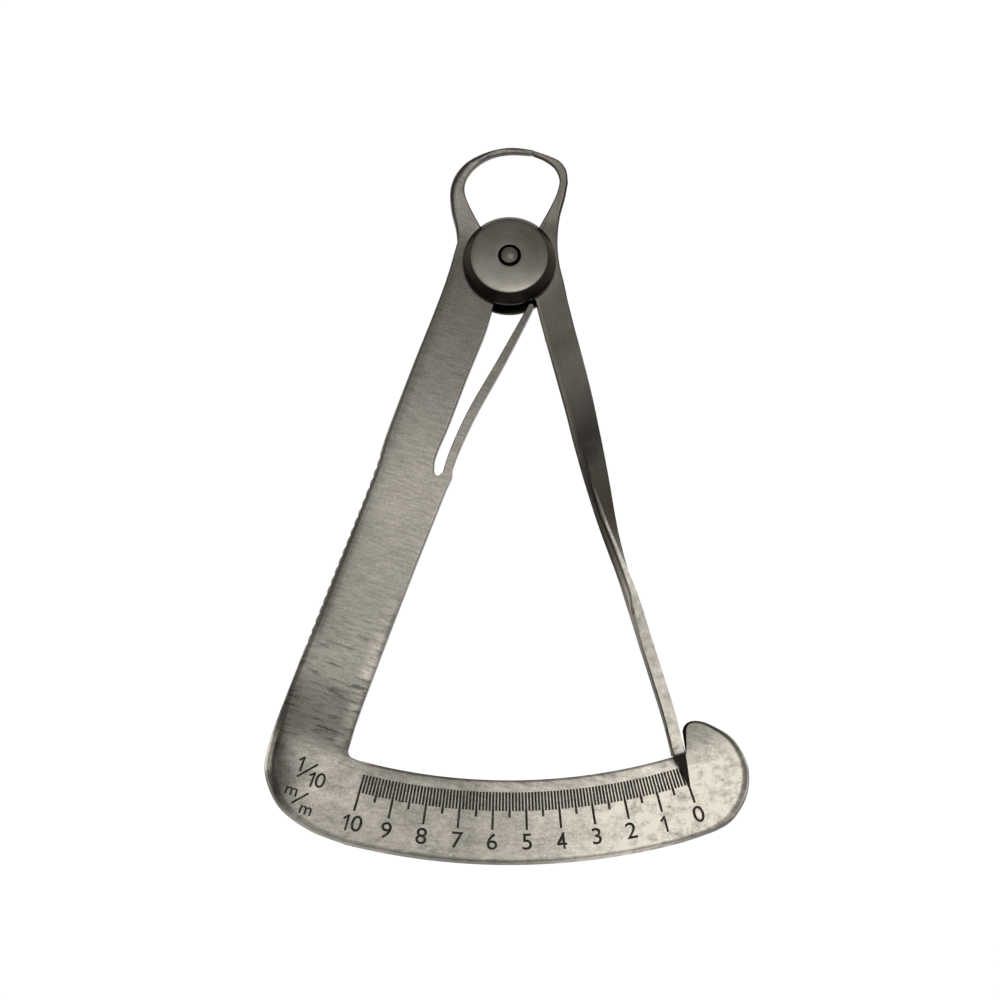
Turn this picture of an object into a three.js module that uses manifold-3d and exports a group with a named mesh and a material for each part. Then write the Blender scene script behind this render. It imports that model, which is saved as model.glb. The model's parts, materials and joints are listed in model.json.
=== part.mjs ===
// Thickness gauge for cut stones: two curved jaws on one riveted pivot, a long swinging arm that ends
// in a pointer, and a flat frame whose quadrant scale reads the opening of the jaws.
// The gauge lies on its back. +X is right and +Y points to the jaws, both seen from the front, and +Z
// points to the viewer. The origin is on the pivot's axis, in the back face of the rivet.
import * as THREE from 'three';
import { mergeVertices } from 'three/addons/utils/BufferGeometryUtils.js';
import Module from 'manifold-3d';

const wasm = await Module();
wasm.setup();

// Reading geometry, in millimetres and degrees. Scale angles start at -Y and grow to the right.
const JAW_RADIUS = 17.75;
const TIP_ANGLE = 11.3;
const JAW_GAP = 0.06;
const FULL_READING = 10;
const ZERO_ANGLE = 17.83;

// Stack along the pivot, from the back to the front
const REAR_CAP_THICK = 1.2;
const WASHER_THICK = 0.3;
const PLATE_THICK = 1.6;
const FRONT_CAP_THICK = 2.7;
const ARM_PLAY = 0.03;
const LAP_GAP = 0.06;

// Pivot pieces
const RIVET_RADIUS = 1.1;
const RIVET_HEAD_RADIUS = 1.3;
const RIVET_HEAD_RISE = 0.6;
const RIVET_TAIL_RADIUS = 1.7;
const RIVET_TAIL_THICK = 0.6;
const RUNNING_CLEARANCE = 0.06;
const HEAD_RECESS_RADIUS = 1.65;
const HEAD_RECESS_DEPTH = 0.5;
const FRONT_CAP_RADIUS = 6.95;
const FRONT_CAP_FACE_RADIUS = 5.85;
const FRONT_CAP_RIM = 0.6;
const FRONT_CAP_CROWN = 0.2;
const REAR_CAP_RADIUS = 7.4;
const REAR_CAP_CHAMFER = 0.35;
const LAP_RADIUS = 4.3;
const LAP_CLEARANCE = 0.1;

// Frame plate with its leg, scale and stop bulb
const SCALE_INNER_RADIUS = 82.1;
const SCALE_OUTER_RADIUS = 95;
const LEG_WIDTH = 11.4;
const NECK_WIDTH = 9;
const BULB_RISE = 4.7;
const BULB_REACH = 7.7;
const CORNER_RADIUS = 2.2;
const STOP_CLEARANCE = 0.25;
const EDGE_BREAK = 0.14;
const PILLOW_WIDTH = 1.6;
const PILLOW_DEPTH = 0.9;

// Finger serrations on the outer edge of the leg
const NOTCH_COUNT = 20;
const NOTCH_PITCH = 1.65;
const NOTCH_RADIUS = 0.8;
const NOTCH_DEPTH = 0.2;
const NOTCH_START = 36.2;

// Spring tongue that lies in the slot beside the leg, sawn out of the same blank
const TONGUE_ROOT_DISTANCE = 35.7;
const TONGUE_ROOT_MARGIN = 0.7;
const TONGUE_ROOT_RADIUS = 0.62;
const TONGUE_TIP_RADIUS = 0.42;
const TONGUE_BELLY = 0.14;
const TONGUE_SEAT_GAP = 0.3;
const TONGUE_TIP_GAP = 0.47;

// Swinging arm with its twisted shank and pointer
const ARM_WIDTH = 5.1;
const STRIP_DEPTH = 3.6;
const STRIP_WIDTH = 1.85;
const TWIST_START = 14;
const TWIST_END = 57;
const STRIP_END_GAP = 0.6;
const POINTER_TIP_RADIUS = 87.2;
const POINTER_TIP_WIDTH = 0.35;
const POINTER_LIFT = 0.2;
const JAW_TIP_THICK = 1.1;
const FRAME_TIP_WIDTH = 0.7;
const ARM_TIP_WIDTH = 0.62;

// Heights that follow from the stack
const DEGREE = Math.PI / 180;
const plateBack = REAR_CAP_THICK + WASHER_THICK;
const plateFace = plateBack + PLATE_THICK;
const lapHeight = plateBack + PLATE_THICK / 2;
const capBase = plateFace + WASHER_THICK;
const capEdge = capBase + FRONT_CAP_THICK;
const capTop = capEdge + FRONT_CAP_CROWN;

// Angles that follow from the reading: the arm swings until the jaw tips stand FULL_READING apart
const fullSwing = (2 * Math.asin(FULL_READING / (2 * JAW_RADIUS))) / DEGREE;
const tenAngle = ZERO_ANGLE - fullSwing;
const stopAngle = ZERO_ANGLE + (STRIP_WIDTH / 2 + STOP_CLEARANCE) / SCALE_INNER_RADIUS / DEGREE;
const tipHalfGap = JAW_GAP / 2 / JAW_RADIUS / DEGREE;

// A point of the plane by its distance from the pivot and its angle from -Y, positive to the right
function scalePoint(radius, degrees) {
  return new THREE.Vector2(radius * Math.sin(degrees * DEGREE), -radius * Math.cos(degrees * DEGREE));
}

// A point beside the last division: margin in degrees beyond it, then width across the leg
function legPoint(radius, margin, width = 0) {
  return scalePoint(radius, tenAngle - margin - width / radius / DEGREE);
}

// A point at the jaws by its distance from the pivot and its angle from +Y, positive to the right
function jawPoint(radius, degrees) {
  return new THREE.Vector2(radius * Math.sin(degrees * DEGREE), radius * Math.cos(degrees * DEGREE));
}

function point(x, y) {
  return new THREE.Vector2(x, y);
}

function smoothCurve(points) {
  const knots = points.map((p) => new THREE.Vector3(p.x, p.y, 0));
  return new THREE.CatmullRomCurve3(knots, false, 'centripetal');
}

// The value part of the way through a list of evenly spaced values
function between(values, share) {
  const spot = share * (values.length - 1);
  const i = Math.floor(spot);
  return THREE.MathUtils.lerp(values[i], values[i + 1], spot - i);
}

// One stretch of an outline: a smooth curve through a few points, without its last point. Round lists
// how much its front edge is rounded over, and thick which share of its thickness the plate keeps.
function stretch(points, steps, round = [0, 0], thick = [1, 1]) {
  const samples = smoothCurve(points).getSpacedPoints(steps);
  return samples.slice(0, steps).map((sample, i) => ({
    x: sample.x,
    y: sample.y,
    round: between(round, i / steps),
    thick: between(thick, i / steps),
  }));
}

// A stretch along an arc about any centre, with angles in radians from +X
function arcStretch(centre, radius, from, to, steps, round = [0, 0]) {
  const points = [];
  for (let i = 0; i < steps; i += 1) {
    const angle = THREE.MathUtils.lerp(from, to, i / steps);
    points.push({
      x: centre.x + radius * Math.cos(angle),
      y: centre.y + radius * Math.sin(angle),
      round: between(round, i / steps),
      thick: 1,
    });
  }
  return points;
}

// A stretch along an arc about the pivot, with scale angles
function scaleArc(radius, from, to, steps, round) {
  const turn = -Math.PI / 2;
  return arcStretch(point(0, 0), radius, from * DEGREE + turn, to * DEGREE + turn, steps, round);
}

// Skins a row of closed rings, each counter-clockwise seen against the direction of travel
function skin(rings, capTriangles) {
  const size = rings[0].length;
  const positions = rings.flat().flatMap((p) => [p.x, p.y, p.z]);
  const index = [];
  for (let k = 0; k + 1 < rings.length; k += 1) {
    for (let i = 0; i < size; i += 1) {
      const next = (i + 1) % size;
      const low = k * size;
      const high = low + size;
      index.push(low + i, low + next, high + next, low + i, high + next, high + i);
    }
  }
  const last = (rings.length - 1) * size;
  for (const [a, b, c] of capTriangles) {
    index.push(a, c, b, last + a, last + b, last + c);
  }
  const geometry = new THREE.BufferGeometry();
  geometry.setAttribute('position', new THREE.Float32BufferAttribute(positions, 3));
  geometry.setIndex(index);
  return geometry;
}

// A flat plate from a counter-clockwise outline. Its back edge has a small chamfer, and its front edge
// is rounded over as far as each stretch of the outline says.
function edgedPlate(outline, back, front) {
  const count = outline.length;
  const middle = (back + front) / 2;
  const inward = outline.map((here, i) => {
    const before = outline[(i + count - 1) % count];
    const after = outline[(i + 1) % count];
    const arriving = point(here.x - before.x, here.y - before.y).normalize();
    const leaving = point(after.x - here.x, after.y - here.y).normalize();
    return point(-arriving.y - leaving.y, arriving.x + leaving.x).normalize();
  });
  const ringAt = (insetAt, heightAt) => outline.map((p, i) => {
    const inset = insetAt(p);
    const height = middle + (heightAt(p) - middle) * p.thick;
    return new THREE.Vector3(p.x + inward[i].x * inset, p.y + inward[i].y * inset, height);
  });
  const rings = [
    ringAt((p) => EDGE_BREAK * p.thick, () => back),
    ringAt(() => 0, () => back + EDGE_BREAK),
  ];
  const roundSteps = 4;
  for (let k = 0; k <= roundSteps; k += 1) {
    const angle = ((k / roundSteps) * Math.PI) / 2;
    rings.push(ringAt(
      (p) => (EDGE_BREAK * p.thick + PILLOW_WIDTH * p.round) * (1 - Math.cos(angle)),
      (p) => front - (EDGE_BREAK + PILLOW_DEPTH * p.round) * (1 - Math.sin(angle)),
    ));
  }
  const contour = rings[rings.length - 1].map((p) => point(p.x, p.y));
  return skin(rings, THREE.ShapeUtils.triangulateShape(contour, []));
}

// Turns a closed geometry into a solid that can be joined and cut
function solid(geometry) {
  const bare = geometry.clone();
  bare.deleteAttribute('normal');
  bare.deleteAttribute('uv');
  const merged = mergeVertices(bare, 1e-5);
  return new wasm.Manifold(new wasm.Mesh({
    numProp: 3,
    vertProperties: new Float32Array(merged.attributes.position.array),
    triVerts: new Uint32Array(merged.index.array),
  }));
}

function geometryOf(body) {
  const mesh = body.getMesh();
  const geometry = new THREE.BufferGeometry();
  geometry.setAttribute('position', new THREE.BufferAttribute(new Float32Array(mesh.vertProperties), 3));
  geometry.setIndex(new THREE.BufferAttribute(new Uint32Array(mesh.triVerts), 1));
  geometry.computeVertexNormals();
  return geometry;
}

// A round disc about an upright axis, between two heights
function disc(radius, low, high, segments = 64, x = 0, y = 0) {
  const geometry = new THREE.CylinderGeometry(radius, radius, high - low, segments);
  geometry.rotateX(Math.PI / 2);
  geometry.translate(x, y, (low + high) / 2);
  return solid(geometry);
}

// A turned piece about the pivot's axis, from [radius, height] pairs
function turned(profile, segments = 64) {
  const points = profile.map(([radius, height]) => point(radius, height));
  const geometry = new THREE.LatheGeometry(points, segments);
  geometry.rotateX(Math.PI / 2);
  return geometryOf(solid(geometry));
}

// Tongue: where it is rooted, and the arm's inner edge that its tip follows
const tongueRoot = legPoint(TONGUE_ROOT_DISTANCE, TONGUE_ROOT_MARGIN);
const seatRadius = TONGUE_ROOT_RADIUS + TONGUE_SEAT_GAP;

// The arm's inner edge, from beside the caps to the end of the strip. It runs along the zero line.
const armInnerPoints = [
  scalePoint(7.3, ZERO_ANGLE + 15),
  scalePoint(9.3, ZERO_ANGLE + 10.2),
  scalePoint(12, ZERO_ANGLE + 6.3),
  scalePoint(15.1, ZERO_ANGLE + 4.4),
  scalePoint(20, ZERO_ANGLE + 2.5),
  scalePoint(25.5, ZERO_ANGLE + 1.15),
  scalePoint(31, ZERO_ANGLE + 0.15),
  scalePoint(37, ZERO_ANGLE - 0.4),
  scalePoint(43.8, ZERO_ANGLE - 0.55),
  scalePoint(50.5, ZERO_ANGLE - 0.3),
  scalePoint(57, ZERO_ANGLE),
  scalePoint(64, ZERO_ANGLE - 0.15),
  scalePoint(76, ZERO_ANGLE - 0.35),
  scalePoint(SCALE_INNER_RADIUS - STRIP_END_GAP, ZERO_ANGLE - STRIP_WIDTH / 2 / SCALE_INNER_RADIUS / DEGREE),
];
const armInnerEdge = smoothCurve(armInnerPoints);

// Value of a quantity that changes along the arm, from [distance, value] stops
function along(distance, stops) {
  for (let i = 0; i + 1 < stops.length; i += 1) {
    const [from, a] = stops[i];
    const [to, b] = stops[i + 1];
    if (distance <= to) {
      return THREE.MathUtils.lerp(a, b, THREE.MathUtils.clamp((distance - from) / (to - from), 0, 1));
    }
  }
  return stops[stops.length - 1][1];
}

// Frame plate: left jaw, hub, leg with its slot, scale and stop bulb in one blank
function framePlate() {
  const bulbTop = SCALE_INNER_RADIUS - BULB_RISE;
  const bulbPoint = (down, out) => {
    const radius = THREE.MathUtils.lerp(bulbTop, SCALE_OUTER_RADIUS, down);
    return scalePoint(radius, stopAngle + (BULB_REACH * out) / radius / DEGREE);
  };
  const legAt = (share) => THREE.MathUtils.lerp(TONGUE_ROOT_DISTANCE, SCALE_INNER_RADIUS, share);
  const bandAt = (share) => THREE.MathUtils.lerp(SCALE_INNER_RADIUS, SCALE_OUTER_RADIUS, share);
  const lipAngle = -62 * DEGREE;
  const lip = point(
    tongueRoot.x + seatRadius * Math.cos(lipAngle),
    tongueRoot.y + seatRadius * Math.sin(lipAngle),
  );
  const tipInner = jawPoint(JAW_RADIUS, TIP_ANGLE - tipHalfGap);
  const tipOuter = jawPoint(JAW_RADIUS + FRAME_TIP_WIDTH, TIP_ANGLE - tipHalfGap);
  const tipThick = JAW_TIP_THICK / PLATE_THICK;
  const waist = point(-7.8, 3.4);
  const legOuter = [
    waist,
    point(-9.3, -2.1),
    legPoint(TONGUE_ROOT_DISTANCE * 0.365, 2.2, NECK_WIDTH * 1.02),
    legPoint(TONGUE_ROOT_DISTANCE * 0.62, 3.7, NECK_WIDTH * 0.975),
    legPoint(TONGUE_ROOT_DISTANCE * 0.95, 1.5, NECK_WIDTH * 1.13),
    legPoint(legAt(0.05), 0.6, LEG_WIDTH * 0.94),
    legPoint(legAt(0.44), 1.6, LEG_WIDTH * 0.985),
    legPoint(legAt(0.85), 2.4, LEG_WIDTH),
  ];
  const cornerTop = legOuter[legOuter.length - 1];
  const bottomLeft = legPoint(SCALE_OUTER_RADIUS, 0);
  const bottomRightAngle = ZERO_ANGLE - 2;
  const bulbLeft = bulbPoint(0.0625, 0.089);
  const topInner = legPoint(7.5, 4.6);
  const cornerInner = legPoint(SCALE_INNER_RADIUS - CORNER_RADIUS, 2.42);
  const outline = [
    ...scaleArc(SCALE_OUTER_RADIUS, tenAngle, bottomRightAngle, 28, [0.3, 0.2]),
    ...stretch([
      scalePoint(SCALE_OUTER_RADIUS, bottomRightAngle),
      scalePoint(bandAt(0.977), ZERO_ANGLE + 1.1),
      bulbPoint(0.949, 0.4),
      bulbPoint(0.869, 0.668),
      bulbPoint(0.793, 0.84),
      bulbPoint(0.676, 0.99),
      bulbPoint(0.562, 1.06),
      bulbPoint(0.398, 1.04),
      bulbPoint(0.261, 0.94),
      bulbPoint(0.136, 0.729),
      bulbPoint(0.037, 0.485),
      bulbPoint(0.006, 0.3),
      bulbPoint(0.018, 0.17),
      bulbLeft,
    ], 44, [0.2, 0.3, 0.55, 0.7, 0.75, 0.7, 0.5, 0.25, 0.3]),
    ...stretch([bulbLeft, scalePoint(SCALE_INNER_RADIUS, stopAngle)], 4, [0.3, 0]),
    ...scaleArc(SCALE_INNER_RADIUS, stopAngle, tenAngle - 1, 24),
    ...stretch([
      legPoint(SCALE_INNER_RADIUS, 1),
      legPoint(SCALE_INNER_RADIUS - CORNER_RADIUS * 0.11, 1.95),
      legPoint(SCALE_INNER_RADIUS - CORNER_RADIUS * 0.45, 2.35),
      cornerInner,
    ], 6),
    ...stretch([
      cornerInner,
      legPoint(legAt(0.89), 2.5),
      legPoint(legAt(0.65), 2.2),
      legPoint(legAt(0.33), 1.4),
      lip,
    ], 16, [0.05, 0.05]),
    ...arcStretch(tongueRoot, seatRadius, lipAngle, -Math.PI, 8),
    ...stretch([
      point(tongueRoot.x - seatRadius, tongueRoot.y),
      point(tongueRoot.x - seatRadius - 0.5, tongueRoot.y + 0.5),
      point(tongueRoot.x - seatRadius - 0.75, tongueRoot.y + 1.4),
    ], 5, [0.05, 0.05]),
    ...stretch([
      point(tongueRoot.x - seatRadius - 0.75, tongueRoot.y + 1.4),
      legPoint(TONGUE_ROOT_DISTANCE * 0.925, 4.8),
      legPoint(TONGUE_ROOT_DISTANCE * 0.77, 4.5),
      legPoint(TONGUE_ROOT_DISTANCE * 0.53, 4.3),
      legPoint(TONGUE_ROOT_DISTANCE * 0.31, 3.2),
      topInner,
    ], 16, [0.05, 0.05]),
    ...stretch([topInner, point(-1.3, -3.6)], 1),
    ...stretch([point(-1.3, -3.6), point(-1.3, 2.6)], 1),
    ...stretch([point(-1.3, 2.6), point(-3.7, 4.6)], 1),
    ...stretch([
      point(-3.7, 4.6),
      point(-6.1, 9.4),
      point(-6.7, 11.3),
      point(-6.6, 13.1),
      point(-5.7, 14.8),
      point(-4.2, 16.2),
      point(-2.2, 17.2),
      point(0.3, 17.6),
      tipInner,
    ], 30, [0.06, 0.06], [1, tipThick]),
    ...stretch([tipInner, tipOuter], 1, [0.06, 0.06], [tipThick, tipThick]),
    ...stretch([
      tipOuter,
      point(0.2, 18.45),
      point(-3.2, 17.8),
      point(-6.3, 16.25),
      point(-7.85, 14.55),
      point(-8.6, 12.95),
      point(-8.9, 11.2),
      point(-8.65, 8.3),
      point(-8, 5.5),
      waist,
    ], 40, [0.03, 0.05, 0.1, 0.3, 0.4, 0.4, 0.3, 0.2, 0.1], [tipThick, 0.8, 0.95, 1, 1, 1, 1, 1, 1]),
    ...stretch(legOuter, 34, [0.1, 0.15, 0.3, 0.45, 0.5, 0.5, 0.5]),
    ...stretch([
      cornerTop,
      legPoint(bandAt(-0.116), 2.4, LEG_WIDTH * 1.024),
      legPoint(bandAt(0.2), 2.4, LEG_WIDTH * 1.018),
      legPoint(bandAt(0.438), 2.4, LEG_WIDTH * 0.979),
      legPoint(bandAt(0.656), 2.4, LEG_WIDTH * 0.826),
      legPoint(bandAt(0.83), 2, LEG_WIDTH * 0.648),
      legPoint(bandAt(0.953), 1.5, LEG_WIDTH * 0.29),
      bottomLeft,
    ], 34, [0.5, 0.8, 1, 1, 0.9, 0.6, 0.4, 0.3]),
  ];
  const blank = solid(edgedPlate(outline, plateBack, plateFace));
  const lapDisc = disc(LAP_RADIUS, plateBack, lapHeight - LAP_GAP / 2);
  const lapPocket = disc(LAP_RADIUS + LAP_CLEARANCE, lapHeight - LAP_GAP / 2, plateFace + 1);
  const bore = disc(RIVET_RADIUS + RUNNING_CLEARANCE, plateBack - 1, plateFace + 1, 48);
  let plate = blank.subtract(lapPocket).add(lapDisc).subtract(bore);
  const edge = smoothCurve(legOuter);
  const edgeLength = edge.getLength();
  for (let i = 0; i < NOTCH_COUNT; i += 1) {
    const share = (NOTCH_START + i * NOTCH_PITCH) / edgeLength;
    const spot = edge.getPointAt(share);
    const heading = edge.getTangentAt(share);
    const out = NOTCH_RADIUS - NOTCH_DEPTH;
    const x = spot.x + heading.y * out;
    const y = spot.y - heading.x * out;
    plate = plate.subtract(disc(NOTCH_RADIUS, plateBack - 1, plateFace + 1, 16, x, y));
  }
  return geometryOf(plate);
}

// Spring tongue: a slim tapered leaf from its rounded root in the leg to its tip at the arm
function springTongue() {
  const touch = armInnerEdge.getPointAt(0.01);
  const tip = point(touch.x - TONGUE_TIP_RADIUS - TONGUE_TIP_GAP, touch.y);
  const chord = tip.clone().sub(tongueRoot);
  const across = point(chord.y, -chord.x).normalize();
  const bowed = (share, side) => tongueRoot.clone().addScaledVector(chord, share).addScaledVector(across, side);
  const spine = smoothCurve([
    tongueRoot,
    bowed(0.11, -0.55),
    bowed(0.34, -0.85),
    bowed(0.66, -0.35),
    bowed(0.87, -0.1),
    tip,
  ]);
  const steps = 24;
  const right = [];
  const left = [];
  for (let i = 0; i <= steps; i += 1) {
    const share = i / steps;
    const centre = spine.getPointAt(share);
    const heading = spine.getTangentAt(share);
    const taper = THREE.MathUtils.lerp(TONGUE_ROOT_RADIUS, TONGUE_TIP_RADIUS, share);
    const half = taper + TONGUE_BELLY * Math.sin(Math.PI * share);
    right.push({ x: centre.x + heading.y * half, y: centre.y - heading.x * half, round: 0, thick: 1 });
    left.unshift({ x: centre.x - heading.y * half, y: centre.y + heading.x * half, round: 0, thick: 1 });
  }
  const side = Math.PI / 2;
  const atTip = spine.getTangentAt(1);
  const atRoot = spine.getTangentAt(0);
  const tipHeading = Math.atan2(atTip.y, atTip.x);
  const rootHeading = Math.atan2(atRoot.y, atRoot.x);
  const outline = [
    ...right.slice(0, steps),
    ...arcStretch(tip, TONGUE_TIP_RADIUS, tipHeading - side, tipHeading + side, 8),
    ...left.slice(0, steps),
    ...arcStretch(tongueRoot, TONGUE_ROOT_RADIUS, rootHeading + side, rootHeading + 3 * side, 12),
  ];
  return geometryOf(solid(edgedPlate(outline, plateBack, plateFace)));
}

// Twisted shank: a flat bar that turns a quarter turn on its way down, so that its lower part is a
// strip on edge. It turns on its back corner, so no part of it lies lower than the plates.
function twistedShank(back) {
  const steps = 44;
  const fromEdge = 0.075;
  const rings = [];
  for (let i = 0; i <= steps; i += 1) {
    const share = fromEdge + ((1 - fromEdge) * i) / steps;
    const spot = armInnerEdge.getPointAt(share);
    const heading = armInnerEdge.getTangentAt(share);
    const distance = Math.hypot(spot.x, spot.y);
    const turn = THREE.MathUtils.clamp((distance - TWIST_START) / (TWIST_END - TWIST_START), 0, 1);
    const twist = 90 * DEGREE * (0.6 * turn + 0.4 * THREE.MathUtils.smoothstep(turn, 0, 1));
    const wide = along(distance, [
      [TWIST_START, ARM_WIDTH],
      [36, STRIP_DEPTH + 1],
      [44, STRIP_DEPTH + 0.9],
      [50, STRIP_DEPTH + 0.6],
      [TWIST_END, STRIP_DEPTH],
    ]);
    const thick = THREE.MathUtils.lerp(PLATE_THICK - 2 * ARM_PLAY, STRIP_WIDTH, turn);
    const facet = along(distance, [
      [TWIST_START, EDGE_BREAK],
      [20, 0.45],
      [42, 0.35],
      [50, 0.4],
      [57, 0.9],
      [63, STRIP_WIDTH * 0.75],
    ]);
    const facetTurn = Math.max(twist, 40 * DEGREE);
    const heel = along(distance, [[TWIST_START, EDGE_BREAK], [36, 0.3], [45, 0.9], [51, 1], [57, 0.75], [64, 0.2]]);
    const w = wide / 2;
    const t = thick / 2;
    const section = [
      [-w, t - facet * Math.sin(facetTurn)],
      [-w, -t + heel],
      [-w + heel, -t],
      [w - EDGE_BREAK, -t],
      [w, -t + EDGE_BREAK],
      [w, t - EDGE_BREAK],
      [w - EDGE_BREAK, t],
      [-w + facet * Math.cos(facetTurn), t],
    ];
    const innermost = Math.min(...section.map(([a, b]) => a * Math.cos(twist) + b * Math.sin(twist)));
    const centreHeight = back + w * Math.sin(twist) + t * Math.cos(twist);
    rings.push(section.map(([a, b]) => {
      const across = a * Math.cos(twist) + b * Math.sin(twist) - innermost;
      const height = centreHeight - a * Math.sin(twist) + b * Math.cos(twist);
      return new THREE.Vector3(spot.x - heading.y * across, spot.y + heading.x * across, height);
    }));
  }
  const fan = [1, 2, 3, 4, 5, 6].map((i) => [0, i, i + 1]);
  return solid(skin(rings, fan));
}

// Pointer: the end of the strip, which reaches over the scale and slopes down to a fine tip
function pointer(back) {
  const top = back + STRIP_DEPTH;
  const under = plateFace + POINTER_LIFT;
  const stations = [
    { radius: SCALE_INNER_RADIUS - 4, wide: STRIP_WIDTH - 0.4, top: top - 0.3, side: 0 },
    { radius: SCALE_INNER_RADIUS - STRIP_END_GAP, wide: STRIP_WIDTH - 0.02, top: top - 0.01, side: 0 },
    { radius: SCALE_INNER_RADIUS + 0.7, wide: STRIP_WIDTH * 0.95, top, side: 0.03 },
    { radius: SCALE_INNER_RADIUS + 1.2, wide: STRIP_WIDTH * 0.8, top: top - 0.45, side: 0.1 },
    { radius: SCALE_INNER_RADIUS + 2.6, wide: STRIP_WIDTH * 0.55, top: top - 0.85, side: 0.1 },
    { radius: POINTER_TIP_RADIUS, wide: POINTER_TIP_WIDTH, top: under + 0.2, side: 0 },
  ];
  const rings = stations.map((station) => {
    const corner = (across, height) => {
      const angle = ZERO_ANGLE + (across + station.side) / station.radius / DEGREE;
      const spot = scalePoint(station.radius, angle);
      return new THREE.Vector3(spot.x, spot.y, height);
    };
    const half = station.wide / 2;
    return [
      corner(-half, station.top - EDGE_BREAK),
      corner(-half, under),
      corner(half, under),
      corner(half, station.top - EDGE_BREAK),
      corner(half - EDGE_BREAK, station.top),
      corner(EDGE_BREAK - half, station.top),
    ];
  });
  return solid(skin(rings, [1, 2, 3, 4].map((i) => [0, i, i + 1])));
}

// Swinging arm: right jaw, front half of the lapped hub, twisted shank and pointer in one piece
function swingArm() {
  const back = plateBack + ARM_PLAY;
  const face = plateFace - ARM_PLAY;
  const tipThick = JAW_TIP_THICK / PLATE_THICK;
  const tipInner = jawPoint(JAW_RADIUS, TIP_ANGLE + tipHalfGap);
  const tipOuter = jawPoint(JAW_RADIUS + ARM_TIP_WIDTH, TIP_ANGLE + tipHalfGap);
  const cheek = point(8.75, 13.1);
  const joinSpot = armInnerEdge.getPointAt(0.085);
  const joinHeading = armInnerEdge.getTangentAt(0.085);
  const joinInner = point(joinSpot.x, joinSpot.y);
  const joinOuter = point(joinSpot.x - joinHeading.y * ARM_WIDTH, joinSpot.y + joinHeading.x * ARM_WIDTH);
  const outline = [
    ...stretch([joinInner, joinOuter], 1),
    ...stretch([
      joinOuter,
      point(9.15, -7),
      point(8.2, -3.2),
      point(7.5, -0.2),
      point(7.2, 3.2),
      point(7.5, 7.4),
      point(8.3, 10.6),
      cheek,
    ], 28, [0.05, 0.15], [1, 0.9]),
    ...stretch([
      cheek,
      point(8.5, 14.9),
      point(7.55, 16.3),
      point(6.05, 17.1),
      tipOuter,
    ], 18, [0.15, 0.01], [0.9, tipThick]),
    ...stretch([tipOuter, tipInner], 1, [0.01, 0.01], [tipThick, tipThick]),
    ...stretch([
      tipInner,
      point(5.3, 16.6),
      point(6.8, 15.35),
      point(7.5, 13.5),
      point(7.2, 11.5),
      point(6.3, 9.3),
      point(4.1, 5.1),
    ], 24, [0.01, 0.1], [tipThick, 1]),
    ...stretch([point(4.1, 5.1), point(1.8, 2.6)], 1),
    ...stretch([point(1.8, 2.6), point(1.8, -2.6)], 1),
    ...stretch([point(1.8, -2.6), armInnerPoints[0]], 1),
    ...stretch([armInnerPoints[0], armInnerPoints[1], joinInner], 6, [0.02, 0]),
  ];
  const blank = solid(edgedPlate(outline, back, face));
  const lapDisc = disc(LAP_RADIUS, lapHeight + LAP_GAP / 2, face);
  const lapPocket = disc(LAP_RADIUS + LAP_CLEARANCE, back - 1, lapHeight + LAP_GAP / 2);
  const bore = disc(RIVET_RADIUS + RUNNING_CLEARANCE, plateBack - 1, plateFace + 1, 48);
  const bar = twistedShank(back).add(pointer(back));
  return geometryOf(blank.add(bar).subtract(lapPocket).add(lapDisc).subtract(bore));
}

function frontCap() {
  const bore = RIVET_RADIUS + RUNNING_CLEARANCE;
  const recessFloor = capTop - HEAD_RECESS_DEPTH;
  const middle = (FRONT_CAP_FACE_RADIUS + HEAD_RECESS_RADIUS) / 2;
  return turned([
    [bore, capBase],
    [FRONT_CAP_RADIUS - EDGE_BREAK, capBase],
    [FRONT_CAP_RADIUS, capBase + EDGE_BREAK],
    [FRONT_CAP_RADIUS, capBase + FRONT_CAP_RIM],
    [FRONT_CAP_FACE_RADIUS + EDGE_BREAK, capEdge - EDGE_BREAK],
    [FRONT_CAP_FACE_RADIUS, capEdge],
    [middle, capEdge + FRONT_CAP_CROWN * 0.75],
    [HEAD_RECESS_RADIUS, capTop],
    [HEAD_RECESS_RADIUS, recessFloor],
    [bore, recessFloor],
    [bore, capBase],
  ], 72);
}

function rearCap() {
  const bore = RIVET_RADIUS + RUNNING_CLEARANCE;
  const recess = RIVET_TAIL_RADIUS + RUNNING_CLEARANCE;
  return turned([
    [recess, 0],
    [REAR_CAP_RADIUS - REAR_CAP_CHAMFER, 0],
    [REAR_CAP_RADIUS, REAR_CAP_CHAMFER],
    [REAR_CAP_RADIUS, REAR_CAP_THICK - EDGE_BREAK],
    [REAR_CAP_RADIUS - EDGE_BREAK, REAR_CAP_THICK],
    [bore, REAR_CAP_THICK],
    [bore, RIVET_TAIL_THICK],
    [recess, RIVET_TAIL_THICK],
    [recess, 0],
  ], 72);
}

function pivotRivet() {
  const shoulder = capTop - HEAD_RECESS_DEPTH;
  const crown = capTop + RIVET_HEAD_RISE;
  const profile = [
    [0, 0],
    [RIVET_TAIL_RADIUS, 0],
    [RIVET_TAIL_RADIUS, RIVET_TAIL_THICK],
    [RIVET_RADIUS, RIVET_TAIL_THICK],
    [RIVET_RADIUS, shoulder],
    [RIVET_HEAD_RADIUS, shoulder],
  ];
  const domeSteps = 5;
  for (let i = 0; i < domeSteps; i += 1) {
    const angle = ((i / domeSteps) * Math.PI) / 2;
    const dome = (crown - capTop) * Math.sin(angle);
    profile.push([RIVET_HEAD_RADIUS * Math.cos(angle), capTop + dome]);
  }
  profile.push([0, crown]);
  return turned(profile, 32);
}

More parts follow.
